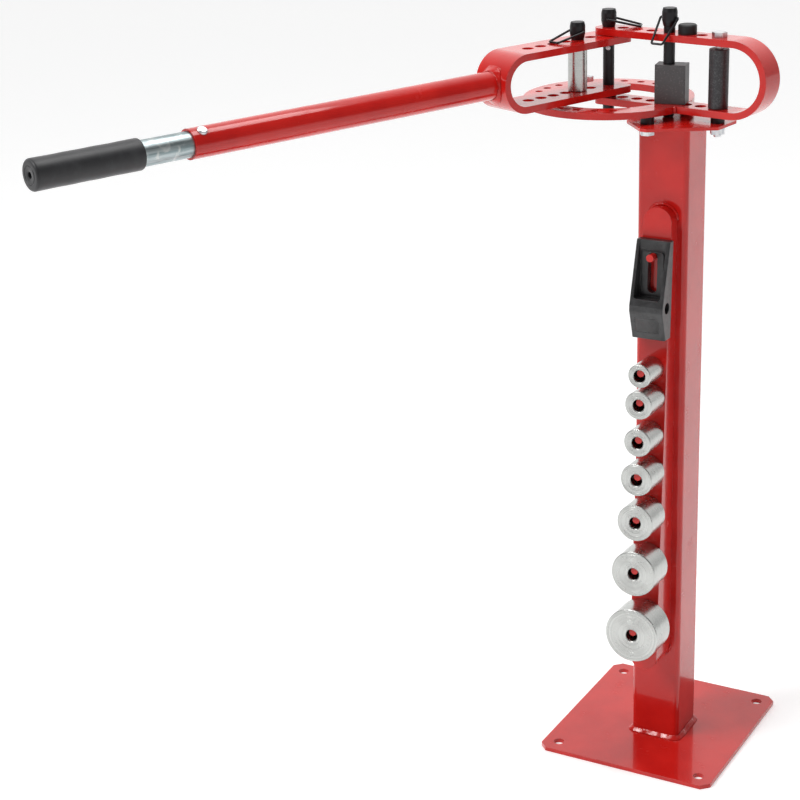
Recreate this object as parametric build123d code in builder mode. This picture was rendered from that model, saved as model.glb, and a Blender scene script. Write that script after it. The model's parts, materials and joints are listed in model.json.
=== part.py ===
from build123d import *
import os
from math import cos, radians, sin

os.makedirs("parts", exist_ok=True)

# Frame: origin on the post's axis at the underside of the base plate, +Z up,
# -Y out of the front of the post where the rack of dies is, +X to its right.

# Base plate, post and the plate that carries the head
base_x, base_y, base_t = 257.0, 279.0, 6.0
base_centre = (-8.0, 4.0)
base_cut = 11.0
base_hole_x, base_hole_y, base_hole_d = 213.0, 234.0, 15.0
post_side, post_wall, post_corner = 70.0, 3.0, 7.0
post_top = 897.5
post_half = post_side / 2
weld_size, top_weld_size = 6.0, 2.1
plate_t = 4.0
plate_top = post_top + plate_t

# Head: two U frames of bent flat bar that share one upright pivot
head_turn = -9.0
pivot_back = 99.5
bar_t = 9.0
bar_hole_d = 15.1
pin_d = 14.9
pivot_x = -pivot_back * cos(radians(head_turn))
pivot_y = -pivot_back * sin(radians(head_turn))

fixed_w, fixed_reach, fixed_tail = 36.0, 242.0, 15.0
fixed_top, fixed_bottom = 1011.0, 911.0
fixed_half = fixed_w / 2
lower_top = fixed_bottom + bar_t
upper_under = fixed_top - bar_t
fixed_holes = (22.0, 44.0, 66.0, 139.5)
follower_at, cap_at, column_at = 92.0, 118.5, 165.0
arm_end_radius = 12.0

swing_w, swing_reach, swing_tail = 57.0, 205.5, 20.0
swing_top, swing_bottom = 1001.5, 926.0
swing_radius = (swing_top - swing_bottom) / 2
swing_mid = (swing_top + swing_bottom) / 2
swing_turn = -112.2
swing_holes = (33.0, 77.5, 99.0, 120.5, 142.0)
roller_at = 56.0

# Angle ring round the pivot, level with the lower fixed arm
ring_in, ring_out, ring_holes_r, ring_hole_d = 83.0, 113.0, 98.0, 10.5
ring_hole_step = 14.0
ring_hole_last = 9
ring_skin = 1.5
ring_bolt_r, ring_bolt_turn = 103.0, 28.5
stop_turn = 138.0

# Handle
tube_d, tube_bore, tube_end = 36.0, 31.0, 655.0
inner_d, inner_bore, inner_start, inner_end = 30.5, 25.5, 598.0, 846.0
grip_d, grip_start, grip_end = 36.6, 719.5, 855.0
button_at, button_tilt, button_d = 641.0, 32.0, 12.4
button_proud, button_travel = 2.5, 6.5

# Rack of dies: a shallow channel whose face leans out towards its foot
rack_x, rack_w, rack_wall = 2.0, 39.5, 3.0
rack_low, rack_high = 137.0, 794.0
rack_mid_y, rack_mid_z, rack_lean = -71.5, 423.0, 2.78
peg_d, peg_len = 10.0, 41.0
die_len, die_bore = 45.0, 16.5
die_sizes = (31.75, 38.1, 38.1, 44.45, 50.8, 63.5, 76.2)
die_heights = (580.4, 540.0, 488.0, 435.6, 374.2, 300.3, 209.4)
hang_gap = 0.3

# Follower shoe that hangs on the top peg
shoe_w, shoe_slot_w, shoe_slot_len = 47.0, 12.8, 54.0
shoe_peg_z, shoe_peg_len = 731.0, 22.0

# Bolts of the head
bolt_d, bolt_flats, bolt_head, nut_t = 10.0, 17.0, 6.5, 9.0
bolt_hole_d, nut_washer_d, nut_washer_t = 11.0, 20.0, 1.6


def flat_plane(angle, z, x=pivot_x, y=pivot_y):
    """Level plane at height z whose X points along a bar from the pivot."""
    turn = radians(angle)
    return Plane(origin=(x, y, z), x_dir=(cos(turn), sin(turn), 0), z_dir=(0, 0, 1))


def side_plane(angle, z=0.0):
    """Upright plane through the pivot: X runs along a bar, Y is up."""
    turn = radians(angle)
    return Plane(origin=(pivot_x, pivot_y, z), x_dir=(cos(turn), sin(turn), 0),
                 z_dir=(sin(turn), -cos(turn), 0))


def along(angle, reach, across=0.0):
    """World X, Y of a point on a bar, measured from the pivot."""
    turn = radians(angle)
    return (pivot_x + reach * cos(turn) - across * sin(turn),
            pivot_y + reach * sin(turn) + across * cos(turn))


def across_plane(angle, reach, z):
    """Upright plane square to a bar at a distance from the pivot; its normal runs outwards."""
    turn = radians(angle)
    x, y = along(angle, reach)
    return Plane(origin=(x, y, z), x_dir=(-sin(turn), cos(turn), 0),
                 z_dir=(cos(turn), sin(turn), 0))


def rack_plane(z, out=0.0):
    """Plane on the rack's leaning face at height z, moved out along its normal."""
    lean = radians(rack_lean)
    face_y = rack_mid_y + (z - rack_mid_z) * sin(lean) / cos(lean)
    return Plane(origin=(rack_x, face_y - out * cos(lean), z + out * sin(lean)),
                 x_dir=(1, 0, 0), z_dir=(0, -cos(lean), sin(lean)))


def column(place, low, high, diameter, mode=Mode.ADD):
    """Upright cylinder between two heights."""
    with BuildSketch(Plane.XY.offset(low)) as disc:
        with Locations(place):
            Circle(diameter / 2)
    extrude(disc.sketch, amount=high - low, mode=mode)


def hexagon(place, low, high, flats=bolt_flats, turn=0.0):
    """Upright hexagonal prism between two heights."""
    with BuildSketch(Plane.XY.offset(low)) as outline:
        with Locations(place):
            RegularPolygon(flats / 2, 6, major_radius=False, rotation=turn)
    extrude(outline.sketch, amount=high - low)


def bent_bar(angle, top, bottom, reach, tail, width):
    """Flat bar bent into a lying U, with its two arms' ends rounded in plan."""
    radius = (top - bottom) / 2
    middle = (top + bottom) / 2
    bend_x = reach - radius
    with BuildSketch(side_plane(angle)) as profile:
        with BuildLine():
            Line((-tail, top), (bend_x, top))
            ThreePointArc((bend_x, top), (reach, middle), (bend_x, bottom))
            Line((bend_x, bottom), (-tail, bottom))
            Line((-tail, bottom), (-tail, bottom + bar_t))
            Line((-tail, bottom + bar_t), (bend_x, bottom + bar_t))
            ThreePointArc((bend_x, bottom + bar_t), (reach - bar_t, middle),
                          (bend_x, top - bar_t))
            Line((bend_x, top - bar_t), (-tail, top - bar_t))
            Line((-tail, top - bar_t), (-tail, top))
        make_face()
    extrude(profile.sketch, amount=width / 2, both=True)
    fillet(edges().filter_by(Axis.Z), radius=arm_end_radius)


def finish(builder, name):
    builder.part.label = name
    export_step(builder.part, f"parts/{name}.step")


# ---- stand ----
with BuildPart() as base_plate:
    with BuildSketch():
        with Locations(base_centre):
            Rectangle(base_x, base_y)
    extrude(amount=base_t)
    chamfer(base_plate.edges().filter_by(Axis.Z), length=base_cut)
    with BuildSketch():
        with Locations(base_centre):
            with GridLocations(base_hole_x, base_hole_y, 2, 2):
                Circle(base_hole_d / 2)
    extrude(amount=base_t, mode=Mode.SUBTRACT)
finish(base_plate, "base_plate")

with BuildPart() as post:
    with BuildSketch(Plane.XY.offset(base_t)):
        RectangleRounded(post_side, post_side, post_corner)
        inside = post_side - 2 * post_wall
        RectangleRounded(inside, inside, post_corner - post_wall, mode=Mode.SUBTRACT)
    extrude(amount=post_top - base_t)
finish(post, "post")

with BuildPart() as base_weld:
    with BuildSketch(Plane.XY.offset(base_t)):
        foot = post_side + 2 * weld_size
        RectangleRounded(foot, foot, post_corner + weld_size)
    extrude(amount=weld_size, taper=40)
    with BuildSketch(Plane.XY.offset(base_t)):
        RectangleRounded(post_side, post_side, post_corner)
    extrude(amount=weld_size, mode=Mode.SUBTRACT)
finish(base_weld, "base_weld")

ring_bolt_places = [along(head_turn + side * ring_bolt_turn, ring_bolt_r) for side in (-1, 1)]
column_place = along(head_turn, column_at)
mount_places = [column_place] + ring_bolt_places

plate_outline = [(80, -23), (80, 23), (0, 79), (-8, 79), (-42, 52),
                 (-42, -46), (-2, -79), (8, -79)]

with BuildPart() as top_plate:
    with BuildSketch(flat_plane(head_turn, post_top, 0, 0)):
        with BuildLine():
            Polyline(*plate_outline, close=True)
        make_face()
    extrude(amount=plate_t)
    for place in mount_places:
        column(place, post_top, plate_top, bolt_hole_d, mode=Mode.SUBTRACT)
finish(top_plate, "top_plate")

with BuildPart() as top_weld:
    with BuildSketch(Plane.XY.offset(post_top)):
        crown = post_side + 2 * top_weld_size
        RectangleRounded(crown, crown, post_corner + top_weld_size)
    extrude(amount=-top_weld_size, taper=40)
    with BuildSketch(Plane.XY.offset(post_top)):
        RectangleRounded(post_side, post_side, post_corner)
    extrude(amount=-top_weld_size, mode=Mode.SUBTRACT)
finish(top_weld, "top_weld")

# ---- rack of dies ----
rack_mid = (rack_low + rack_high) / 2
rack_length = (rack_high - rack_low) / cos(radians(rack_lean))
rack_depth = 70.0
with BuildPart() as die_rack:
    with BuildSketch(rack_plane(rack_mid)):
        SlotOverall(rack_length, rack_w, rotation=90)
    extrude(amount=-rack_depth)
    with BuildSketch(rack_plane(rack_mid, -rack_wall)):
        SlotOverall(rack_length - 2 * rack_wall, rack_w - 2 * rack_wall, rotation=90)
    extrude(amount=-rack_depth, mode=Mode.SUBTRACT)
    with BuildSketch(Plane.XZ.offset(post_half)):
        with Locations((rack_x, rack_mid)):
            Rectangle(2 * rack_w, rack_length + 2 * rack_w)
    extrude(amount=-2 * rack_depth, mode=Mode.SUBTRACT)
finish(die_rack, "die_rack")

with BuildPart() as rack_weld:
    with BuildSketch(Plane.XZ.offset(post_half)):
        with Locations((rack_x, rack_mid)):
            SlotOverall(rack_length + weld_size, rack_w + weld_size, rotation=90)
            SlotOverall(rack_length - rack_w, rack_w - rack_wall, rotation=90, mode=Mode.SUBTRACT)
            Rectangle(2 * rack_w, rack_length - rack_w, mode=Mode.SUBTRACT)
    extrude(amount=weld_size / 2, taper=25)
    add(die_rack.part, mode=Mode.SUBTRACT)
    with BuildSketch(rack_plane(rack_mid, -rack_wall)):
        SlotOverall(rack_length - rack_wall, rack_w - rack_wall, rotation=90)
    extrude(amount=-rack_depth, mode=Mode.SUBTRACT)
finish(rack_weld, "rack_weld")

with BuildPart() as rack_pegs:
    peg_lengths = [(z, peg_len) for z in die_heights] + [(shoe_peg_z, shoe_peg_len)]
    for height, length in peg_lengths:
        with BuildSketch(rack_plane(height)):
            Circle(peg_d / 2)
        extrude(amount=length)
finish(rack_pegs, "rack_pegs")

# Each die hangs on its peg, so its bore drops until the peg bears on the top of it.
die_drop = (die_bore - peg_d) / 2 - hang_gap
for number, (size, height) in enumerate(zip(die_sizes, die_heights), start=1):
    with BuildPart() as die:
        with BuildSketch(rack_plane(height, hang_gap)):
            with Locations((0, -die_drop)):
                Circle(size / 2)
                Circle(die_bore / 2, mode=Mode.SUBTRACT)
        extrude(amount=die_len)
        chamfer(die.edges().filter_by(GeomType.CIRCLE), length=0.8)
    finish(die, f"die_{number}")

# ---- follower shoe ----
def shoe_plane(out, up, tilt=0.0):
    """Plane on the hung shoe: out from the rack's face, up from the peg, normal tilted upwards."""
    base = rack_plane(shoe_peg_z)
    spot = base.origin + base.z_dir * out + base.y_dir * up
    turned = radians(rack_lean + tilt)
    return Plane(origin=spot, x_dir=(1, 0, 0), z_dir=(0, -cos(turned), sin(turned)))


shoe_back, shoe_brow, shoe_knee, shoe_toe = hang_gap, 11.0, 31.0, 17.0
shoe_top, shoe_bend, shoe_foot = 22.0, -67.0, -110.0
shoe_bore_at = (15.0, -66.0)
lower_tilt = -19.7
slot_top = peg_d / 2 + hang_gap
slot_middle = slot_top - shoe_slot_len / 2
rail, knee_half, knee_radius, rim_radius = 5.0, 4.0, 6.0, 1.6
channel_low, groove_low, groove_high, groove_deep = -54.5, -54.5, 9.0, 2.2
pad_w, pad_low, pad_corner = 30.0, -51.5, 4.0
pocket_w, pocket_len, pocket_middle, pocket_deep = 34.0, 23.0, 21.0, 2.2

with BuildPart() as shoe:
    base = rack_plane(shoe_peg_z)
    with BuildSketch(Plane(origin=base.origin, x_dir=base.z_dir, z_dir=(-1, 0, 0))):
        with BuildLine():
            Polyline((shoe_back, shoe_top), (shoe_brow, shoe_top),
                     (shoe_knee, shoe_bend + knee_half), (shoe_knee, shoe_bend - knee_half),
                     (shoe_toe, shoe_foot), (shoe_back, shoe_foot), close=True)
        make_face()
    extrude(amount=shoe_w / 2, both=True)
    fillet(shoe.edges().filter_by(Axis.X).group_by(Axis.Y)[0], radius=knee_radius)
    front = shoe.faces().sort_by(Axis.X)
    fillet((front[0].edges() + front[-1].edges()).sort_by(Axis.Y)[:-2], radius=rim_radius)
    # channel of the upper leg, with a groove round the pad that carries the slot
    with BuildSketch(shoe_plane(shoe_brow, 0)):
        with Locations((0, (channel_low + shoe_top) / 2)):
            RectangleRounded(shoe_w - 2 * rail, shoe_top - channel_low, pad_corner)
    extrude(amount=shoe_knee, mode=Mode.SUBTRACT)
    with BuildSketch(shoe_plane(shoe_brow, 0)):
        with Locations((0, (groove_low + groove_high) / 2)):
            RectangleRounded(shoe_w - 2 * rail, groove_high - groove_low, pad_corner)
        with Locations((0, (pad_low + groove_high) / 2 - 1.5)):
            RectangleRounded(pad_w, groove_high - pad_low - 3, pad_corner, mode=Mode.SUBTRACT)
    extrude(amount=-groove_deep, mode=Mode.SUBTRACT)
    # shallow pocket on the lower leg
    with BuildSketch(shoe_plane(shoe_toe, shoe_foot, lower_tilt)):
        with Locations((0, pocket_middle)):
            RectangleRounded(pocket_w, pocket_len, pad_corner)
    extrude(amount=-pocket_deep, mode=Mode.SUBTRACT)
    # slot for the peg and bore for a hitch pin
    with BuildSketch(shoe_plane(-shoe_back, 0)):
        with Locations((0, slot_middle)):
            SlotOverall(shoe_slot_len, shoe_slot_w, rotation=90)
    extrude(amount=shoe_knee, mode=Mode.SUBTRACT)
    with BuildSketch(Plane(origin=base.origin, x_dir=base.z_dir, z_dir=(-1, 0, 0))):
        with Locations(shoe_bore_at):
            Circle(bar_hole_d / 2)
    extrude(amount=shoe_w, both=True, mode=Mode.SUBTRACT)
finish(shoe, "shoe")

# ---- fixed frame of the head ----
ring_low, ring_top = fixed_bottom, lower_top
with BuildPart() as fixed_frame:
    bent_bar(head_turn, fixed_top, fixed_bottom, fixed_reach, fixed_tail, fixed_w)
    for reach in (0.0, follower_at, cap_at) + fixed_holes:
        column(along(head_turn, reach), 0, fixed_top, bar_hole_d, mode=Mode.SUBTRACT)
    column(column_place, 0, fixed_top, bolt_hole_d, mode=Mode.SUBTRACT)
finish(fixed_frame, "fixed_frame")

with BuildPart() as angle_ring:
    with BuildSketch(flat_plane(head_turn, ring_low)):
        Circle(ring_out)
        Circle(ring_in, mode=Mode.SUBTRACT)
        with Locations((ring_out, 0)):
            Rectangle(2 * ring_out, fixed_w, mode=Mode.SUBTRACT)
    extrude(amount=bar_t)
    for step in range(-ring_hole_last, ring_hole_last + 1):
        turn = 180 + step * ring_hole_step
        if turn != stop_turn:
            column(along(head_turn + turn, ring_holes_r), ring_low, ring_top, ring_hole_d,
                   mode=Mode.SUBTRACT)
    column(along(head_turn + stop_turn, ring_holes_r), ring_low, ring_top, 6.4,
           mode=Mode.SUBTRACT)
    for place in ring_bolt_places:
        column(place, ring_low, ring_top - ring_skin, bolt_d, mode=Mode.SUBTRACT)
finish(angle_ring, "angle_ring")

with BuildPart() as ring_welds:
    for radius in (ring_in, ring_out):
        reach = (radius ** 2 - fixed_half ** 2) ** 0.5
        for side in (-1, 1):
            column(along(head_turn, reach, side * fixed_half), ring_low, ring_top, 7)
    add(angle_ring.part, mode=Mode.SUBTRACT)
    add(fixed_frame.part, mode=Mode.SUBTRACT)
finish(ring_welds, "ring_welds")

# ---- hardware of the fixed frame ----
short_spacer_d = 18.0
column_tube_d, column_tube_len, column_tube_bore = 25.5, 76.0, 10.6
nut_low = post_top - nut_washer_t - nut_t

with BuildPart() as mount_spacers:
    for place in mount_places:
        column(place, plate_top, fixed_bottom, short_spacer_d)
        column(place, plate_top, fixed_bottom, bolt_hole_d, mode=Mode.SUBTRACT)
finish(mount_spacers, "mount_spacers")

bolt_tip = 2.5

with BuildPart() as column_bolt:
    column(column_place, nut_low - bolt_tip, fixed_top, bolt_d)
    hexagon(column_place, fixed_top, fixed_top + bolt_head, turn=12)
finish(column_bolt, "column_bolt")

with BuildPart() as ring_bolts:
    for place in ring_bolt_places:
        column(place, nut_low + nut_t, ring_top - ring_skin, bolt_d)
        hexagon(place, nut_low, nut_low + nut_t)
        column(place, nut_low + nut_t, post_top, nut_washer_d)
finish(ring_bolts, "ring_bolts")

with BuildPart() as mount_nuts:
    hexagon(column_place, nut_low, nut_low + nut_t)
    column(column_place, nut_low + nut_t, post_top, nut_washer_d)
    column(column_place, nut_low, post_top, bolt_d, mode=Mode.SUBTRACT)
finish(mount_nuts, "mount_nuts")

with BuildPart() as column_spacer:
    spacer_low = lower_top + hang_gap
    column(column_place, spacer_low, spacer_low + column_tube_len, column_tube_d)
    column(column_place, spacer_low, spacer_low + column_tube_len, column_tube_bore,
           mode=Mode.SUBTRACT)
    chamfer(column_spacer.edges().filter_by(GeomType.CIRCLE), length=0.6)
finish(column_spacer, "column_spacer")

stop_place = along(head_turn + stop_turn, ring_holes_r)
with BuildPart() as stop_bolt:
    column(stop_place, ring_low - 8, ring_top, 6)
    hexagon(stop_place, ring_top, ring_top + 7.5, flats=10)
finish(stop_bolt, "stop_bolt")

with BuildPart() as stop_nut:
    hexagon(stop_place, ring_low - 5, ring_low, flats=10, turn=15)
    column(stop_place, ring_low - 5, ring_low, 6, mode=Mode.SUBTRACT)
finish(stop_nut, "stop_nut")

with BuildPart() as arm_cap:
    cap_place = along(head_turn, cap_at)
    column(cap_place, upper_under, fixed_top, bar_hole_d)
    column(cap_place, fixed_top, fixed_top + 12.5, 24)
    chamfer(arm_cap.faces().sort_by(Axis.Z)[-1].edges(), length=1.5)
finish(arm_cap, "arm_cap")

with BuildPart() as pivot_spacer:
    column((pivot_x, pivot_y), lower_top, swing_bottom - hang_gap, 21)
    column((pivot_x, pivot_y), lower_top, swing_bottom - hang_gap, bar_hole_d,
           mode=Mode.SUBTRACT)
finish(pivot_spacer, "pivot_spacer")

# ---- swinging frame and handle ----
with BuildPart() as swing_frame:
    bent_bar(swing_turn, swing_top, swing_bottom, swing_reach, swing_tail, swing_w)
    for reach in (0.0, roller_at) + swing_holes:
        column(along(swing_turn, reach), 0, swing_top, bar_hole_d, mode=Mode.SUBTRACT)
finish(swing_frame, "swing_frame")


def handle_rod(start, end, diameter, mode=Mode.ADD):
    """Round bar along the handle's axis between two distances from the pivot."""
    with BuildSketch(across_plane(swing_turn, start, swing_mid)) as disc:
        Circle(diameter / 2)
    extrude(disc.sketch, amount=end - start, mode=mode)


def bend_clearance():
    """Take away the solid round of the swinging frame's bend."""
    with BuildSketch(side_plane(swing_turn, swing_mid)) as disc:
        with Locations((swing_reach - swing_radius, 0)):
            Circle(swing_radius)
    extrude(disc.sketch, amount=swing_w, both=True, mode=Mode.SUBTRACT)


def button_plane(out, side=1):
    """Plane square to the snap buttons' axis, out from the handle's axis."""
    turn, tilt = radians(swing_turn), radians(button_tilt)
    axis = Vector(-sin(turn) * sin(tilt), cos(turn) * sin(tilt), cos(tilt)) * side
    x, y = along(swing_turn, button_at)
    return Plane(origin=Vector(x, y, swing_mid) + axis * out,
                 x_dir=(cos(turn), sin(turn), 0), z_dir=axis)


button_hole_d = button_d + 0.2
with BuildPart() as handle_tube:
    handle_rod(swing_reach - 8, tube_end, tube_d)
    handle_rod(swing_reach - 8, tube_end, tube_bore, mode=Mode.SUBTRACT)
    bend_clearance()
    with BuildSketch(button_plane(-tube_d)):
        Circle(button_hole_d / 2)
    extrude(amount=2 * tube_d, mode=Mode.SUBTRACT)
finish(handle_tube, "handle_tube")

with BuildPart() as handle_weld:
    with BuildSketch(across_plane(swing_turn, swing_reach - 7, swing_mid)):
        Circle(tube_d / 2 + 7)
    extrude(amount=11, taper=32)
    bend_clearance()
    handle_rod(swing_reach - 10, swing_reach + 10, tube_d, mode=Mode.SUBTRACT)
finish(handle_weld, "handle_weld")

with BuildPart() as inner_tube:
    handle_rod(inner_start, inner_end, inner_d)
    handle_rod(inner_start, inner_end, inner_bore, mode=Mode.SUBTRACT)
    with BuildSketch(button_plane(-tube_d)):
        Circle(button_hole_d / 2)
    extrude(amount=2 * tube_d, mode=Mode.SUBTRACT)
finish(inner_tube, "inner_tube")

with BuildPart() as grip:
    handle_rod(grip_start, grip_end, grip_d)
    handle_rod(grip_start - 1, inner_end, inner_d, mode=Mode.SUBTRACT)
    handle_rod(inner_end - 1, grip_end + 1, 8, mode=Mode.SUBTRACT)
    rims = [e for e in grip.edges().filter_by(GeomType.CIRCLE) if abs(e.radius - grip_d / 2) < 0.1]
    fillet(rims, radius=2.5)
finish(grip, "grip")

for name, side in (("snap_button_top", 1), ("snap_button_bottom", -1)):
    with BuildPart() as button:
        crown = tube_d / 2 + button_proud
        with BuildSketch(button_plane(8.5, side)):
            Circle(button_d / 2)
        extrude(amount=crown - 8.5)
        outwards = Axis((0, 0, 0), button_plane(0, side).z_dir)
        fillet(button.edges().sort_by(outwards)[-1], radius=2.4)
        with BuildSketch(button_plane(7.3, side)):
            Circle(button_d / 2 + 0.8)
        extrude(amount=1.2)
    finish(button, name)

with BuildPart() as snap_clip:
    with BuildSketch(Plane(origin=button_plane(0).origin, x_dir=button_plane(0).x_dir,
                           z_dir=button_plane(0).x_dir.cross(button_plane(0).z_dir))):
        with BuildLine():
            Polyline((-6, 0.25), (26, 0.25))
            ThreePointArc((26, 0.25), (26.25, 0), (26, -0.25))
            Polyline((26, -0.25), (-6, -0.25))
            Line((-6, -0.25), (-6, -0.65))
            Polyline((-6, -0.65), (26, -0.65))
            ThreePointArc((26, -0.65), (26.65, 0), (26, 0.65))
            Polyline((26, 0.65), (-6, 0.65))
            Line((-6, 0.65), (-6, 0.25))
        make_face()
    extrude(amount=3.5, both=True)
finish(snap_clip, "snap_clip")

with BuildPart() as roller:
    roller_place = along(swing_turn, roller_at)
    roller_low = swing_bottom + bar_t + hang_gap
    roller_high = swing_top - bar_t - hang_gap
    column(roller_place, roller_low, roller_high, 25)
    column(roller_place, roller_low, roller_high, bar_hole_d, mode=Mode.SUBTRACT)
    chamfer(roller.edges().filter_by(GeomType.CIRCLE), length=0.6)
finish(roller, "roller")

block_turn = 18.0
with BuildPart() as follower_block:
    follower_place = along(head_turn, follower_at)
    with BuildSketch(flat_plane(head_turn + block_turn, lower_top + hang_gap, *follower_place)):
        with Locations((4, 0)):
            Rectangle(40, 25)
        Circle(bar_hole_d / 2, mode=Mode.SUBTRACT)
    extrude(amount=50.5)
    chamfer(follower_block.edges().filter_by(Axis.Z), length=0.6)
finish(follower_block, "follower_block")

# ---- hitch pins and their bails ----
pin_head, pin_bore_up, pin_tip = 23.0, 11.0, 1.5
wire_d, bail_width, bail_length, bail_corner = 3.0, 13.2, 43.0, 2.6


def bail_plane(place, head_low, heading, droop):
    """Plane of a bail: Y points along the loop, X along its hinge."""
    turn, drop = radians(heading), radians(droop)
    loop = Vector(cos(turn) * cos(drop), sin(turn) * cos(drop), -sin(drop))
    hinge = Vector(-sin(turn), cos(turn), 0)
    return Plane(origin=(*place, head_low + pin_bore_up), x_dir=hinge, z_dir=hinge.cross(loop))


# name, place, underside of the head, lower end, bail heading, bail droop
follower_head = 1019.3
pins = (
    ("pivot_pin", (pivot_x, pivot_y), fixed_top, fixed_top - 121, 15.0, 12.4),
    ("roller_pin", roller_place, swing_top, swing_bottom - 3, swing_turn, 12.4),
    ("follower_pin", follower_place, follower_head, plate_top + hang_gap, head_turn - 90, 43.4),
)
for name, place, head_low, tip, heading, droop in pins:
    with BuildPart() as pin:
        with BuildSketch(Plane(origin=(*place, 0), x_dir=(1, 0, 0), z_dir=(0, -1, 0))):
            with BuildLine():
                Polyline((0, tip), (pin_d / 2 - pin_tip, tip), (pin_d / 2, tip + pin_tip),
                         (pin_d / 2, head_low), (8.2, head_low + 0.3), (10, head_low + 8),
                         (10, head_low + 18), (8.8, head_low + pin_head), (0, head_low + pin_head),
                         close=True)
            make_face()
        revolve(axis=Axis((*place, 0), (0, 0, 1)))
        for side in (-1, 1):
            hinge = bail_plane(place, head_low, heading, droop)
            with BuildSketch(Plane(origin=hinge.origin + hinge.x_dir * side * 6,
                                   z_dir=hinge.x_dir * side)):
                Circle(wire_d / 2 + 0.1)
            extrude(amount=10, mode=Mode.SUBTRACT)
    finish(pin, name)

    with BuildPart() as bail:
        hinge = bail_plane(place, head_low, heading, droop)
        with BuildLine(hinge) as wire:
            FilletPolyline((6.5, 0), (bail_width, 0), (8, bail_length), (-8, bail_length),
                           (-bail_width, 0), (-6.5, 0), radius=bail_corner)
        with BuildSketch(Plane(origin=hinge.origin + hinge.x_dir * 6.5, z_dir=hinge.x_dir)):
            Circle(wire_d / 2)
        sweep(path=wire.wires()[0])
    finish(bail, name.replace("pin", "bail"))
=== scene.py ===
import json
import math

import bmesh
import bpy
from mathutils import Matrix, Vector, noise


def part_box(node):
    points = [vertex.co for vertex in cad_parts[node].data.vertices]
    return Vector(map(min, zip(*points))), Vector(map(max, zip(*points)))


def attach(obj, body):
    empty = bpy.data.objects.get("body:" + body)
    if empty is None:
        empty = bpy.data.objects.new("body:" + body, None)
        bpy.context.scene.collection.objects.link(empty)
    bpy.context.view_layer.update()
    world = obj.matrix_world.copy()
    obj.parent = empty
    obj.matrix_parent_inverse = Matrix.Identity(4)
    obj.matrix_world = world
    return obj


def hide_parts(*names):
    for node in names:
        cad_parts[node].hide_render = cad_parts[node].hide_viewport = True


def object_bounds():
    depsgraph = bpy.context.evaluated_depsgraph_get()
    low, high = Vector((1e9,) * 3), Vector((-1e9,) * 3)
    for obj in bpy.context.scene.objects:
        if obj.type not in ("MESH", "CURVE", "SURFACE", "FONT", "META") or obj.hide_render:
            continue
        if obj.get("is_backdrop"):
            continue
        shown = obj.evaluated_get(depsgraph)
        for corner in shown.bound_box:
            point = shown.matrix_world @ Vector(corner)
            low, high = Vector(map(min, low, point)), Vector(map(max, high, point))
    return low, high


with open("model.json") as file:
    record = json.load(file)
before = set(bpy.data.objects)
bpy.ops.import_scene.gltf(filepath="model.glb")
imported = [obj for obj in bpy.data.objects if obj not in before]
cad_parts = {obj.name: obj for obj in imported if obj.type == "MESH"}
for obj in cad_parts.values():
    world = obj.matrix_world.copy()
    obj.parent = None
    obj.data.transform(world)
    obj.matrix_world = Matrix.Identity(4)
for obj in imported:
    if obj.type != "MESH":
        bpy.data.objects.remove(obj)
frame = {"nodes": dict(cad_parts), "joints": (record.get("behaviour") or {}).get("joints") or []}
nodes = frame["nodes"]
joints = {joint["name"]: joint for joint in frame["joints"]}
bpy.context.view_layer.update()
world = bpy.context.scene
print("stage: frame loaded", len(nodes), "nodes")


# one socket of a shader, with operators that add Math nodes
class Signal:
    def __init__(self, look, socket):
        self.look, self.socket = look, socket

    def math(self, operation, first, second=0.0):
        return self.look.add("ShaderNodeMath", {"operation": operation}, {0: first, 1: second})

    def __add__(self, other):
        return self.math("ADD", self, other)

    def __radd__(self, other):
        return self.math("ADD", other, self)

    def __sub__(self, other):
        return self.math("SUBTRACT", self, other)

    def __rsub__(self, other):
        return self.math("SUBTRACT", other, self)

    def __mul__(self, other):
        return self.math("MULTIPLY", self, other)

    def __rmul__(self, other):
        return self.math("MULTIPLY", other, self)

    def size(self):
        return self.math("ABSOLUTE", self)

    def between(self, low, high):
        settings = {"interpolation_type": "SMOOTHSTEP", "clamp": True}
        return self.look.add("ShaderNodeMapRange", settings, {0: self, 1: low, 2: high})


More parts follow.
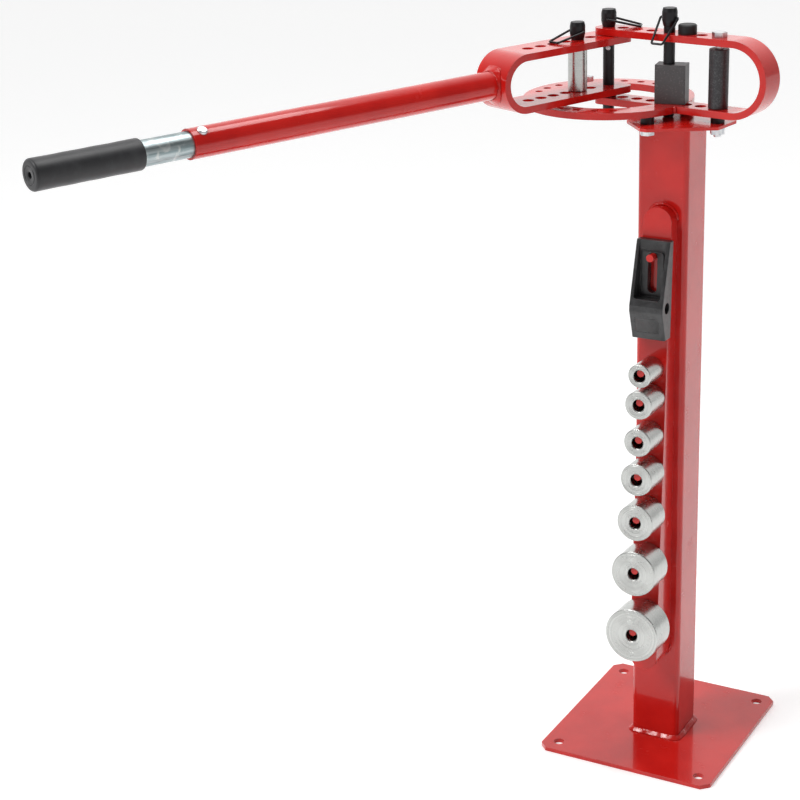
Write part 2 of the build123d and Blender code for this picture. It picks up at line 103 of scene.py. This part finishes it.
# a material under construction
class Look:
    def __init__(self, name, **constants):
        self.material = bpy.data.materials.new(name)
        self.material.use_nodes = True
        self.tree = self.material.node_tree
        self.shader = self.tree.nodes["Principled BSDF"]
        for socket, value in constants.items():
            self.shader.inputs[socket.replace("_", " ")].default_value = value

    def plug(self, socket, value):
        if isinstance(value, Signal):
            self.tree.links.new(value.socket, socket)
        else:
            socket.default_value = value

    def add(self, kind, settings=None, sockets=None, out=0):
        node = self.tree.nodes.new(kind)
        for key, value in (settings or {}).items():
            setattr(node, key, value)
        for key, value in (sockets or {}).items():
            self.plug(node.inputs[key], value)
        return Signal(self, node.outputs[out])

    def feed(self, **signals):
        for socket, signal in signals.items():
            self.plug(self.shader.inputs[socket.replace("_", " ")], signal)
        return self.material

    def place(self):
        return self.add("ShaderNodeTexCoord", out=3)

    def grain(self, where, scale, detail=3.0, roughness=0.55, distortion=0.0):
        sockets = {"Vector": where, "Scale": scale, "Detail": detail}
        sockets.update({"Roughness": roughness, "Distortion": distortion})
        return self.add("ShaderNodeTexNoise", {}, sockets)

    def mix(self, factor, first, second):
        sockets = {0: factor, 6: first, 7: second}
        return self.add("ShaderNodeMix", {"data_type": "RGBA"}, sockets, out=2)

    def vector(self, operation, first, second=None, scale=None, out=0):
        sockets = {0: first}
        if second is not None:
            sockets[1] = second
        if scale is not None:
            sockets[3] = scale
        return self.add("ShaderNodeVectorMath", {"operation": operation}, sockets, out=out)

    def rounded(self, radius):
        return self.add("ShaderNodeBevel", {"samples": 4}, {"Radius": radius})

    # 1 at sharp outer edges, 0 on flat faces
    def edges(self, radius):
        facing = self.add("ShaderNodeNewGeometry", out=1)
        agree = self.vector("DOT_PRODUCT", self.rounded(radius), facing, out=1)
        return (1 - agree).between(0.02, 0.22)

    def bump(self, height, strength, distance, normal=None):
        sockets = {"Strength": strength, "Distance": distance, "Height": height}
        if normal is not None:
            sockets["Normal"] = normal
        return self.add("ShaderNodeBump", {}, sockets)


# the room's light, built with the same helpers
class Room(Look):
    def __init__(self, sky):
        self.tree = sky.node_tree
        self.backing = self.tree.nodes["Background"]
        self.backing.inputs["Color"].default_value = (1, 1, 1, 1)

    def light(self, strength):
        self.plug(self.backing.inputs["Strength"], strength)


def shade(red, green, blue):
    return (red, green, blue, 1.0)


powderCoat = {
    "deep": shade(0.50, 0.008, 0.006),
    "bright": shade(0.60, 0.013, 0.009),
    # lighter red for the chipped edges: partly edge wear, partly a painted highlight along the edges
    "worn": shade(0.74, 0.10, 0.09),
    "dust": shade(0.60, 0.16, 0.14),
    "cloudScale": 14.0,
    "chipScale": 160.0,
    "speckScale": 900.0,
    "scuffScale": 42.0,
    "peelScale": 620.0,
    "waveScale": 150.0,
    "peelDepth": 0.0003,
    "edge": 0.0011,
}


def makePowderCoat(name):
    look = Look(name, Coat_Roughness=0.06, Coat_IOR=1.45, IOR=1.40, Specular_IOR_Level=0.30)
    where = look.place()
    cloud = look.grain(where, powderCoat["cloudScale"], 4.0)
    body = look.mix(cloud.between(0.3, 0.7), powderCoat["deep"], powderCoat["bright"])
    chips = look.grain(where, powderCoat["chipScale"], 5.0).between(0.36, 0.66)
    # chipped edges turn lighter red: part edge wear, part a painted highlight standing in for gloss
    # catching the edges
    edge = look.edges(powderCoat["edge"]) * chips
    body = look.mix(edge * 0.55, body, powderCoat["worn"])
    specks = look.grain(where, powderCoat["speckScale"], 2.0).between(0.70, 0.80)
    body = look.mix(specks * 0.35, body, powderCoat["dust"])
    scuff = look.grain(where, powderCoat["scuffScale"], 6.0, 0.7)
    gloss = 0.18 + cloud * 0.08 + scuff.between(0.52, 0.72) * 0.08 + edge * 0.15
    wave = look.grain(where, powderCoat["waveScale"], 1.0) * 0.8
    peel = look.grain(where, powderCoat["peelScale"], 1.5) + wave
    skin = look.bump(peel, 0.12, powderCoat["peelDepth"], look.rounded(powderCoat["edge"]))
    coat = 0.72 - scuff.between(0.50, 0.74) * 0.22
    return look.feed(Base_Color=body, Roughness=gloss, Coat_Weight=coat, Normal=skin)


turning = {
    "bright": shade(0.62, 0.63, 0.61),
    "dull": shade(0.46, 0.47, 0.455),
    "stain": shade(0.40, 0.41, 0.40),
    "fine": 3600.0,
    "coarse": 900.0,
    "band": 420.0,
    "stainScale": 60.0,
    "faceLean": 1.4,
    "sideLean": 0.14,
    "edge": 0.0007,
}


# metal turned on a lathe: rings round an axis through a middle
def makeTurned(name, middle, axis):
    look = Look(name, Metallic=1.0)
    where = look.place()
    middle, axis = tuple(middle), tuple(Vector(axis).normalized())
    arm = look.vector("SUBTRACT", where, middle)
    along = look.vector("DOT_PRODUCT", arm, axis, out=1)
    across = look.vector("SUBTRACT", arm, look.vector("SCALE", axis, scale=along))
    radius = look.vector("LENGTH", across, out=1)
    outward = look.vector("NORMALIZE", across)
    turn = {"convert_from": "OBJECT", "convert_to": "WORLD", "vector_type": "VECTOR"}
    outWorld = look.add("ShaderNodeVectorTransform", turn, {0: outward})
    axisWorld = look.add("ShaderNodeVectorTransform", turn, {0: axis})
    flat = look.rounded(turning["edge"])
    facing = look.vector("DOT_PRODUCT", flat, axisWorld, out=1).size().between(0.3, 0.8)

    def rings(distance, scale, detail):
        settings = {"noise_dimensions": "1D"}
        sockets = {"W": distance, "Scale": scale, "Detail": detail}
        return look.add("ShaderNodeTexNoise", settings, sockets) - 0.5

    faceRings = rings(radius, turning["fine"], 2.0) * 1.6
    faceRings = faceRings + rings(radius, turning["coarse"], 1.0) * 0.25
    sideRings = rings(along, turning["fine"], 2.0) * 0.5
    sideRings = sideRings + rings(along, turning["coarse"], 1.0) * 0.08
    lean = look.vector("SCALE", outWorld, scale=faceRings * facing * turning["faceLean"])
    drift = look.vector("SCALE", axisWorld, scale=sideRings * (1 - facing) * turning["sideLean"])
    normal = look.vector("ADD", flat, look.vector("ADD", lean, drift))
    normal = look.vector("NORMALIZE", normal)
    faceBand = rings(radius, turning["band"], 3.0) * facing * 0.6
    sideBand = rings(along, turning["band"], 3.0) * (1 - facing) * 0.4
    band = faceBand + sideBand + 0.5
    metal = look.mix(band.between(0.20, 0.80), turning["dull"], turning["bright"])
    cloud = look.grain(where, turning["stainScale"], 5.0, 0.6)
    metal = look.mix(cloud.between(0.56, 0.78) * 0.35, metal, turning["stain"])
    gloss = 0.22 + cloud * 0.10
    return look.feed(Base_Color=metal, Roughness=gloss, Normal=normal)


platedSteel = {
    "bright": shade(0.80, 0.81, 0.82),
    "cloudy": shade(0.56, 0.58, 0.62),
    "warm": shade(0.74, 0.72, 0.66),
    "cloudScale": 120.0,
    "warmScale": 35.0,
    "pitScale": 700.0,
    "pitDepth": 0.0002,
    "edge": 0.0006,
}


def makePlated(name, streak=0.35):
    look = Look(name, Metallic=1.0)
    where = look.place()
    cloud = look.grain(where, platedSteel["cloudScale"], 5.0, 0.6, 0.4)
    metal = look.mix(cloud.between(0.38, 0.66), platedSteel["bright"], platedSteel["cloudy"])
    warmth = look.grain(where, platedSteel["warmScale"], 3.0).between(0.5, 0.7) * streak
    metal = look.mix(warmth, metal, platedSteel["warm"])
    gloss = 0.24 + cloud * 0.20
    pits = look.grain(where, platedSteel["pitScale"], 3.0)
    skin = look.bump(pits, 0.12, platedSteel["pitDepth"], look.rounded(platedSteel["edge"]))
    return look.feed(Base_Color=metal, Roughness=gloss, Normal=skin)


galvanised = {
    "pale": shade(0.44, 0.50, 0.51),
    "grey": shade(0.24, 0.30, 0.31),
    "bright": shade(0.62, 0.64, 0.62),
    "stretch": 0.94,
    "streakScale": 260.0,
    "blotchScale": 70.0,
    "pitScale": 500.0,
    "pitDepth": 0.0002,
}


# drawn tube with a hot zinc coat: long streaks down the tube and soft blotches
def makeGalvanised(name, direction):
    look = Look(name, Metallic=1.0)
    where = look.place()
    along = look.vector("DOT_PRODUCT", where, tuple(direction), out=1)
    shorten = look.vector("SCALE", tuple(direction), scale=along * galvanised["stretch"])
    streaked = look.vector("SUBTRACT", where, shorten)
    streak = look.grain(streaked, galvanised["streakScale"], 4.0, 0.6)
    blotch = look.grain(where, galvanised["blotchScale"], 4.0, 0.6, 0.8)
    zinc = look.mix(streak.between(0.36, 0.64), galvanised["grey"], galvanised["pale"])
    zinc = look.mix(blotch.between(0.48, 0.66) * 0.7, zinc, galvanised["bright"])
    gloss = 0.26 + blotch * 0.22
    pits = look.grain(where, galvanised["pitScale"], 2.0) * 0.6
    skin = look.bump(streak + pits, 0.18, galvanised["pitDepth"])
    return look.feed(Base_Color=zinc, Roughness=gloss, Normal=skin)


blackOxide = {
    "black": shade(0.014, 0.014, 0.016),
    "rubbed": shade(0.10, 0.10, 0.105),
    "cloudScale": 90.0,
    "wearScale": 300.0,
    "scratchScale": 420.0,
    "pitScale": 1100.0,
    "pitDepth": 0.0002,
    "edge": 0.0006,
}


def makeBlackOxide(name, dark=None, rubbed=None, gloss=0.30, wornFrom=0.64):
    look = Look(name, Metallic=0.55, IOR=1.6)
    where = look.place()
    cloud = look.grain(where, blackOxide["cloudScale"], 4.0, 0.6)
    wear = look.grain(where, blackOxide["wearScale"], 4.0).between(0.35, 0.6)
    edge = look.edges(blackOxide["edge"]) * wear
    scratch = look.grain(where, blackOxide["scratchScale"], 5.0, 0.72)
    scratch = scratch.between(wornFrom, wornFrom + 0.10)
    dark, rubbed = dark or blackOxide["black"], rubbed or blackOxide["rubbed"]
    metal = look.mix(edge * 0.8, dark, rubbed)
    metal = look.mix(scratch * cloud * 0.6, metal, rubbed)
    rough = gloss + cloud * 0.18 + edge * 0.05
    pits = look.grain(where, blackOxide["pitScale"], 2.0) * 0.4
    skin = look.bump(cloud + pits, 0.10, blackOxide["pitDepth"], look.rounded(blackOxide["edge"]))
    return look.feed(Base_Color=metal, Roughness=rough, Normal=skin)


casting = {
    "paint": shade(0.012, 0.012, 0.013),
    "thin": shade(0.045, 0.045, 0.048),
    "sandScale": 420.0,
    "lumpScale": 95.0,
    "sandDepth": 0.0007,
    "edge": 0.0014,
}


def makeCasting(name):
    look = Look(name, Coat_Roughness=0.25, IOR=1.5)
    where = look.place()
    sand = look.grain(where, casting["sandScale"], 5.0, 0.65)
    lumps = look.grain(where, casting["lumpScale"], 3.0, 0.5)
    edge = look.edges(casting["edge"])
    bare = lumps.between(0.4, 0.7) * 0.5 + edge * 0.4
    body = look.mix(bare, casting["paint"], casting["thin"])
    skin = look.bump(sand * 1.1 + lumps, 0.75, casting["sandDepth"], look.rounded(casting["edge"]))
    rough = 0.26 + sand * 0.20
    return look.feed(Base_Color=body, Roughness=rough, Coat_Weight=0.25 + lumps * 0.2, Normal=skin)


sleeveRubber = {
    "black": shade(0.013, 0.013, 0.015),
    "bloom": shade(0.035, 0.036, 0.040),
    "bloomScale": 45.0,
    "grainScale": 1500.0,
    "rippleScale": 260.0,
    "grainDepth": 0.0003,
}


def makeRubber(name):
    look = Look(name, Sheen_Weight=0.25, Sheen_Roughness=0.4, IOR=1.5)
    where = look.place()
    cloud = look.grain(where, sleeveRubber["bloomScale"], 5.0, 0.65)
    fine = look.grain(where, sleeveRubber["grainScale"], 3.0)
    ripple = look.grain(where, sleeveRubber["rippleScale"], 3.0)
    body = look.mix(cloud.between(0.4, 0.75) * 0.6, sleeveRubber["black"], sleeveRubber["bloom"])
    skin = look.bump(fine * 0.5 + ripple, 0.16, sleeveRubber["grainDepth"])
    return look.feed(Base_Color=body, Roughness=0.38 + cloud * 0.18, Normal=skin)


# where the handle lies, from the joint it turns on
handleLine = {"turn": -112.2, "gripStart": 0.7195, "gripEnd": 0.855, "gripRadius": 0.0183}
pivot = Vector(joints["handle_swing"]["pos_m"])
turnAngle = math.radians(handleLine["turn"])
handleWay = Vector((math.cos(turnAngle), math.sin(turnAngle), 0.0))

# how dark and how rubbed each black steel is
blackSteels = {
    "block": (shade(0.085, 0.085, 0.087), shade(0.26, 0.26, 0.265), 0.38, 0.55),
    "worn": (shade(0.045, 0.045, 0.048), shade(0.16, 0.16, 0.165), 0.34, 0.50),
    "cap": (shade(0.018, 0.018, 0.019), shade(0.05, 0.05, 0.05), 0.40),
}

leanAxis = Vector(joints["die_1_slide"]["axis"]).normalized()
red = makePowderCoat("redPowderCoat")
plated = makePlated("platedSteel")
platedTube = makeGalvanised("galvanisedTube", handleWay)
black = makeBlackOxide("blackOxide")
wire = makeBlackOxide("blackWire", gloss=0.24)
blockSteel = makeBlackOxide("satinBlock", *blackSteels["block"])
wornBlack = makeBlackOxide("wornBlack", *blackSteels["worn"])
spring = makePlated("springSteel", streak=0.1)
cast = makeCasting("blackCasting")
rubber = makeRubber("sleeveRubber")
capBlack = makeBlackOxide("capPlastic", *blackSteels["cap"])


def middleOf(name):
    low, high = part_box(name)
    return (low + high) / 2


def paint(names, material):
    for name in names.split():
        slots = nodes[name].material_slots
        if not slots:
            nodes[name].data.materials.append(material)
        for slot in slots:
            slot.material = material


paint("base_plate base_weld post top_plate top_weld die_rack rack_weld rack_pegs", red)
paint("fixed_frame angle_ring ring_welds swing_frame handle_tube handle_weld", red)
paint("column_bolt ring_bolts mount_nuts stop_bolt stop_nut snap_button_top snap_button_bottom", plated)
paint("inner_tube", platedTube)
paint("snap_clip", spring)
paint("pivot_pin roller_pin follower_pin mount_spacers pivot_spacer", black)
paint("column_spacer", wornBlack)
paint("pivot_bail roller_bail follower_bail", wire)
paint("follower_block", blockSteel)
paint("shoe", cast)
paint("grip", rubber)
paint("arm_cap", capBlack)
paint("roller", makeTurned("turnedRoller", middleOf("roller"), (0, 0, 1)))
for number in range(1, 8):
    name = f"die_{number}"
    paint(name, makeTurned(f"turnedDie{number}", middleOf(name), leanAxis))
print("stage: materials on", len(nodes), "nodes")


def showMesh(name, mesh, material, body):
    piece = bpy.data.objects.new(name, mesh)
    world.collection.objects.link(piece)
    if not mesh.materials:
        mesh.materials.append(material)
    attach(piece, body)
    return piece


weldBead = {
    "voxel": 0.0008,
    "smoothing": 3,
    "pitch": 0.0034,
    "ripple": 0.00038,
    "wander": 2.5,
    "lump": 0.0007,
    "lumpScale": 95.0,
}


# a bead in place of the plain one: short ripples along it and uneven lumps
def layWeld(name, body, strength=1.0, voxel=None):
    donor = bpy.data.objects.new(name + "_donor", nodes[name].data.copy())
    world.collection.objects.link(donor)
    change = donor.modifiers.new("voxels", "REMESH")
    change.mode, change.voxel_size = "VOXEL", voxel or weldBead["voxel"]
    even = donor.modifiers.new("even", "SMOOTH")
    even.iterations, even.factor = weldBead["smoothing"], 0.5
    shaped = donor.evaluated_get(bpy.context.evaluated_depsgraph_get())
    mesh = bpy.data.meshes.new_from_object(shaped)
    bpy.data.objects.remove(donor)
    normals = [vertex.normal.copy() for vertex in mesh.vertices]
    for vertex, normal in zip(mesh.vertices, normals):
        spot = vertex.co
        wander = noise.noise(spot * weldBead["lumpScale"])
        way = (spot.x + spot.y + spot.z) / weldBead["pitch"] + wander * weldBead["wander"]
        ripple = abs(math.sin(way * math.pi)) - 0.5
        rise = ripple * weldBead["ripple"] + wander * weldBead["lump"]
        vertex.co += normal * strength * rise
    mesh.polygons.foreach_set("use_smooth", [True] * len(mesh.polygons))
    mesh.materials.clear()
    bead = showMesh(name + "_bead", mesh, red, body)
    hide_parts(name)


layWeld("base_weld", "stand", 1.3)
layWeld("top_weld", "stand", 0.5, 0.0005)
layWeld("rack_weld", "stand", 0.8)
layWeld("ring_welds", "stand", 1.0)
layWeld("handle_weld", "handle", 1.3)
print("stage: weld beads laid")


turned = {"steps": 96, "smallest": 1e-5, "sharpAngle": 38}


# turns a profile of (along, radius) pairs about a line
def lathe(name, profile, start, way, steps=turned["steps"]):
    mesh = bpy.data.meshes.new(name)
    shape = bmesh.new()
    way = Vector(way).normalized()
    side = way.orthogonal().normalized()
    other = way.cross(side)
    rows = []
    for place, radius in profile:
        row = []
        for step in range(steps):
            angle = 2 * math.pi * step / steps
            out = side * math.cos(angle) + other * math.sin(angle)
            reach = max(radius, turned["smallest"])
            row.append(shape.verts.new(Vector(start) + way * place + out * reach))
        rows.append(row)
    for first, second in zip(rows, rows[1:]):
        for step in range(steps):
            following = (step + 1) % steps
            shape.faces.new((first[step], first[following], second[following], second[step]))
    if profile[0] != profile[-1]:
        shape.faces.new(list(reversed(rows[0])))
        shape.faces.new(rows[-1])
    bmesh.ops.recalc_face_normals(shape, faces=shape.faces)
    shape.to_mesh(mesh)
    shape.free()
    mesh.polygons.foreach_set("use_smooth", [True] * len(mesh.polygons))
    mesh.set_sharp_from_angle(angle=math.radians(turned["sharpAngle"]))
    return mesh


gripSleeve = {
    "wall": 0.0030,
    "lip": 0.0016,
    "bevel": 0.0006,
    "mouthRound": [(0.0, 0.0012), (0.0004, 0.0003), (0.0014, 0.0)],
    "rimBand": 0.010,
    "rim": 0.0034,
    "rimSteps": 8,
    "rings": 24,
    "sink": 0.00015,
    "swell": 0.00012,
    "swellPace": 0.9,
    "vent": 0.0040,
    "ventDeep": 0.0088,
    "ventBevel": 0.0008,
    "ringAt": 0.0105,
    "ringWide": 0.0010,
    "ringFlat": 0.0004,
    "ringDeep": 0.0006,
}


# dipped sleeve: a rolled mouth, a rounded closed end with a vent hole and a moulded ring
def makeGrip():
    start, end, radius = handleLine["gripStart"], handleLine["gripEnd"], handleLine["gripRadius"]
    wall, rim, vent = gripSleeve["wall"], gripSleeve["rim"], gripSleeve["vent"]
    lip, bevel, band = gripSleeve["lip"], gripSleeve["bevel"], gripSleeve["rimBand"]
    profile = [(start + lip, radius - wall), (start, radius - wall + bevel)]
    profile += [(start + along, radius - inward) for along, inward in gripSleeve["mouthRound"]]
    profile.append((start + band, radius))
    span = end - start - band - rim
    rings = gripSleeve["rings"]
    for step in range(1, rings):
        swell = gripSleeve["swell"] * math.sin(step * gripSleeve["swellPace"])
        profile.append((start + band + span * step / rings, radius - gripSleeve["sink"] + swell))
    rimSteps = gripSleeve["rimSteps"]
    for step in range(rimSteps + 1):
        angle = math.pi / 2 * step / rimSteps
        profile.append((end - rim + rim * math.sin(angle), radius - rim + rim * math.cos(angle)))
    ringAt, deep = gripSleeve["ringAt"], gripSleeve["ringDeep"]
    wide, flat = gripSleeve["ringWide"], gripSleeve["ringFlat"]
    profile += [(end, ringAt + wide), (end - deep, ringAt + flat)]
    profile += [(end - deep, ringAt - flat), (end, ringAt - wide)]
    ventEnd = end - gripSleeve["ventDeep"]
    profile += [(end, vent + gripSleeve["ventBevel"]), (end - deep, vent), (ventEnd, vent)]
    profile += [(ventEnd, radius - wall), (start + lip, radius - wall)]
    mesh = lathe("gripSleeve", profile, pivot, handleWay)
    sleeve = showMesh("gripSleeve", mesh, rubber, "handle")
    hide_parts("grip")


makeGrip()
print("stage: grip sleeve made")

detent = {
    "height": 0.984,
    "faces": (0.30, -0.95, 0.0),
    "pinRadius": 0.00745,
    "ball": 0.0021,
    "ballSteps": 8,
    "proud": 0.0006,
    "collar": 0.0030,
    "collarSunk": 0.0004,
    "collarProud": 0.0001,
    "collarChamfer": 0.0002,
    "stakeProud": 0.00015,
    "stakeWide": 0.0001,
    "grooveDeep": 0.0002,
    "steps": 40,
}


# sprung ball in a staked seat, that keeps the pivot pin from lifting by itself
def makeDetent():
    facing = Vector(detent["faces"]).normalized()
    seat = Vector((pivot.x, pivot.y, detent["height"])) + facing * detent["pinRadius"]
    ball, proud, collar = detent["ball"], detent["proud"], detent["collar"]
    profile = [(-detent["collarSunk"], collar)]
    profile.append((detent["collarProud"], collar - detent["collarChamfer"]))
    profile.append((detent["stakeProud"], ball + detent["stakeWide"]))
    profile.append((-detent["grooveDeep"], ball))
    ballSteps = detent["ballSteps"]
    for step in range(ballSteps + 1):
        angle = math.pi / 2 * step / ballSteps
        profile.append((proud * math.sin(angle), ball * math.cos(angle)))
    mesh = lathe("pivotDetent", profile, seat, facing, detent["steps"])
    showMesh("pivotDetent", mesh, plated, "pivot_pin")


threads = {
    "pitch": 0.0015,
    "deep": 0.0008,
    "chamfer": 0.0010,
    "steps": 36,
    "levelsPerTurn": 4,
    "intoNut": 0.0004,
    "columnRadius": 0.00515,
    "columnPast": 0.0010,
    "stopRadius": 0.00312,
    "stopPast": 0.0006,
}


# cut thread on the end of a bolt: a ridge that climbs one pitch each turn
def cutThread(name, middle, low, high, radius):
    pitch, deep, steps = threads["pitch"], threads["deep"], threads["steps"]
    shape = bmesh.new()
    columns = []
    levels = int((high - low) / pitch * threads["levelsPerTurn"]) + 1
    for step in range(steps):
        angle = 2 * math.pi * step / steps
        column = []
        for level in range(levels + 1):
            z = low + (high - low) * level / levels
            phase = ((z - low) / pitch - step / steps) % 1.0
            cut = deep * abs(phase - 0.5) * 2
            tip = max(0.0, threads["chamfer"] - (z - low)) * 0.9
            out = radius - max(cut, tip)
            place = (middle.x + out * math.cos(angle), middle.y + out * math.sin(angle), z)
            column.append(shape.verts.new(place))
        columns.append(column)
    for step in range(steps):
        first, second = columns[step], columns[(step + 1) % steps]
        for level in range(levels):
            shape.faces.new((first[level], second[level], second[level + 1], first[level + 1]))
    shape.faces.new([column[0] for column in reversed(columns)])
    shape.faces.new([column[-1] for column in columns])
    bmesh.ops.recalc_face_normals(shape, faces=shape.faces)
    mesh = bpy.data.meshes.new(name)
    shape.to_mesh(mesh)
    shape.free()
    showMesh(name, mesh, plated, "stand")


makeDetent()
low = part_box("column_bolt")[0].z - threads["columnPast"]
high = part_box("mount_nuts")[0].z + threads["intoNut"]
cutThread("columnBoltThread", middleOf("column_bolt"), low, high, threads["columnRadius"])
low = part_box("stop_bolt")[0].z - threads["stopPast"]
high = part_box("stop_nut")[0].z + threads["intoNut"]
cutThread("stopBoltThread", middleOf("stop_nut"), low, high, threads["stopRadius"])
print("stage: detent and threads made")

# degrees: heading anticlockwise from +X, pitch up from level, roll about the line of sight
camera = {
    "place": (0.9394, -2.3477, 1.4527),
    "heading": 120.161,
    "pitch": -20.385,
    "roll": -1.990,
    "lens": 87.93,
    "sensor": 36.0,
    "farthest": 100.0,
}


def setCamera():
    eye = bpy.data.objects.new("camera", bpy.data.cameras.new("camera"))
    world.collection.objects.link(eye)
    turn = Matrix.Rotation(math.radians(camera["heading"] - 90), 4, "Z")
    turn = turn @ Matrix.Rotation(math.radians(camera["pitch"] + 90), 4, "X")
    turn = turn @ Matrix.Rotation(math.radians(camera["roll"]), 4, "Z")
    eye.matrix_world = Matrix.Translation(camera["place"]) @ turn
    eye.data.lens, eye.data.sensor_width = camera["lens"], camera["sensor"]
    eye.data.clip_end = camera["farthest"]
    world.camera = eye


studio = {
    "floor": shade(0.90, 0.90, 0.90),
    "floorSize": 60.0,
    "floorRoughness": 0.62,
    "glow": 0.25,
    "sky": 0.15,
    "backdrop": 0.95,
    "backdropWay": (-0.49, 0.85, 0.12),
    "backdropEdge": (0.15, 0.80),
    "aim": (0, 0, 0.6),
    "sun": {"from": (-1.6, -2.2, 2.9), "strength": 1.30, "angle": 22.0},
    "lights": [
        ("key", (-2.4, -2.6, 3.0), 1.3, 34.0),
        ("fill", (3.4, -1.2, 1.7), 1.3, 9.0),
        ("top", (0.1, 0.3, 3.2), 1.4, 34.0),
    ],
}


def setFloor():
    mesh = bpy.data.meshes.new("floor")
    half = studio["floorSize"] / 2
    corners = [(-half, -half, 0), (half, -half, 0), (half, half, 0), (-half, half, 0)]
    mesh.from_pydata(corners, [], [(0, 1, 2, 3)])
    floor = bpy.data.objects.new("floor", mesh)
    world.collection.objects.link(floor)
    look = Look("paleFloor", Roughness=studio["floorRoughness"], Emission_Strength=studio["glow"])
    look.shader.inputs["Emission Color"].default_value = shade(1, 1, 1)
    mesh.materials.append(look.feed(Base_Color=studio["floor"]))
    floor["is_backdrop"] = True


def hang(name, lamp, way):
    holder = bpy.data.objects.new(name, lamp)
    holder.rotation_euler = way.to_track_quat("-Z", "Y").to_euler()
    world.collection.objects.link(holder)
    return holder


def setLights():
    for name, place, size, power in studio["lights"]:
        lamp = bpy.data.lights.new(name, "AREA")
        lamp.shape, lamp.size, lamp.energy = "SQUARE", size, power
        holder = hang(name, lamp, Vector(studio["aim"]) - Vector(place))
        holder.location = place
    sun = bpy.data.lights.new("sun", "SUN")
    sun.energy, sun.angle = studio["sun"]["strength"], math.radians(studio["sun"]["angle"])
    hang("sun", sun, -Vector(studio["sun"]["from"]))


# a bright sheet behind the object, with the rest of the room dimmer
def setRoom():
    sky = bpy.data.worlds.new("studioSky")
    sky.use_nodes = True
    room = Room(sky)
    way = tuple(Vector(studio["backdropWay"]).normalized())
    facing = room.vector("DOT_PRODUCT", room.add("ShaderNodeTexCoord", out=0), way, out=1)
    sheet = facing.between(*studio["backdropEdge"]) * studio["backdrop"]
    room.light(studio["sky"] + sheet)
    world.world = sky
    world.view_settings.view_transform = "Standard"


setCamera()
setFloor()
setLights()
setRoom()
print("stage: camera and studio set")

low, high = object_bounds()
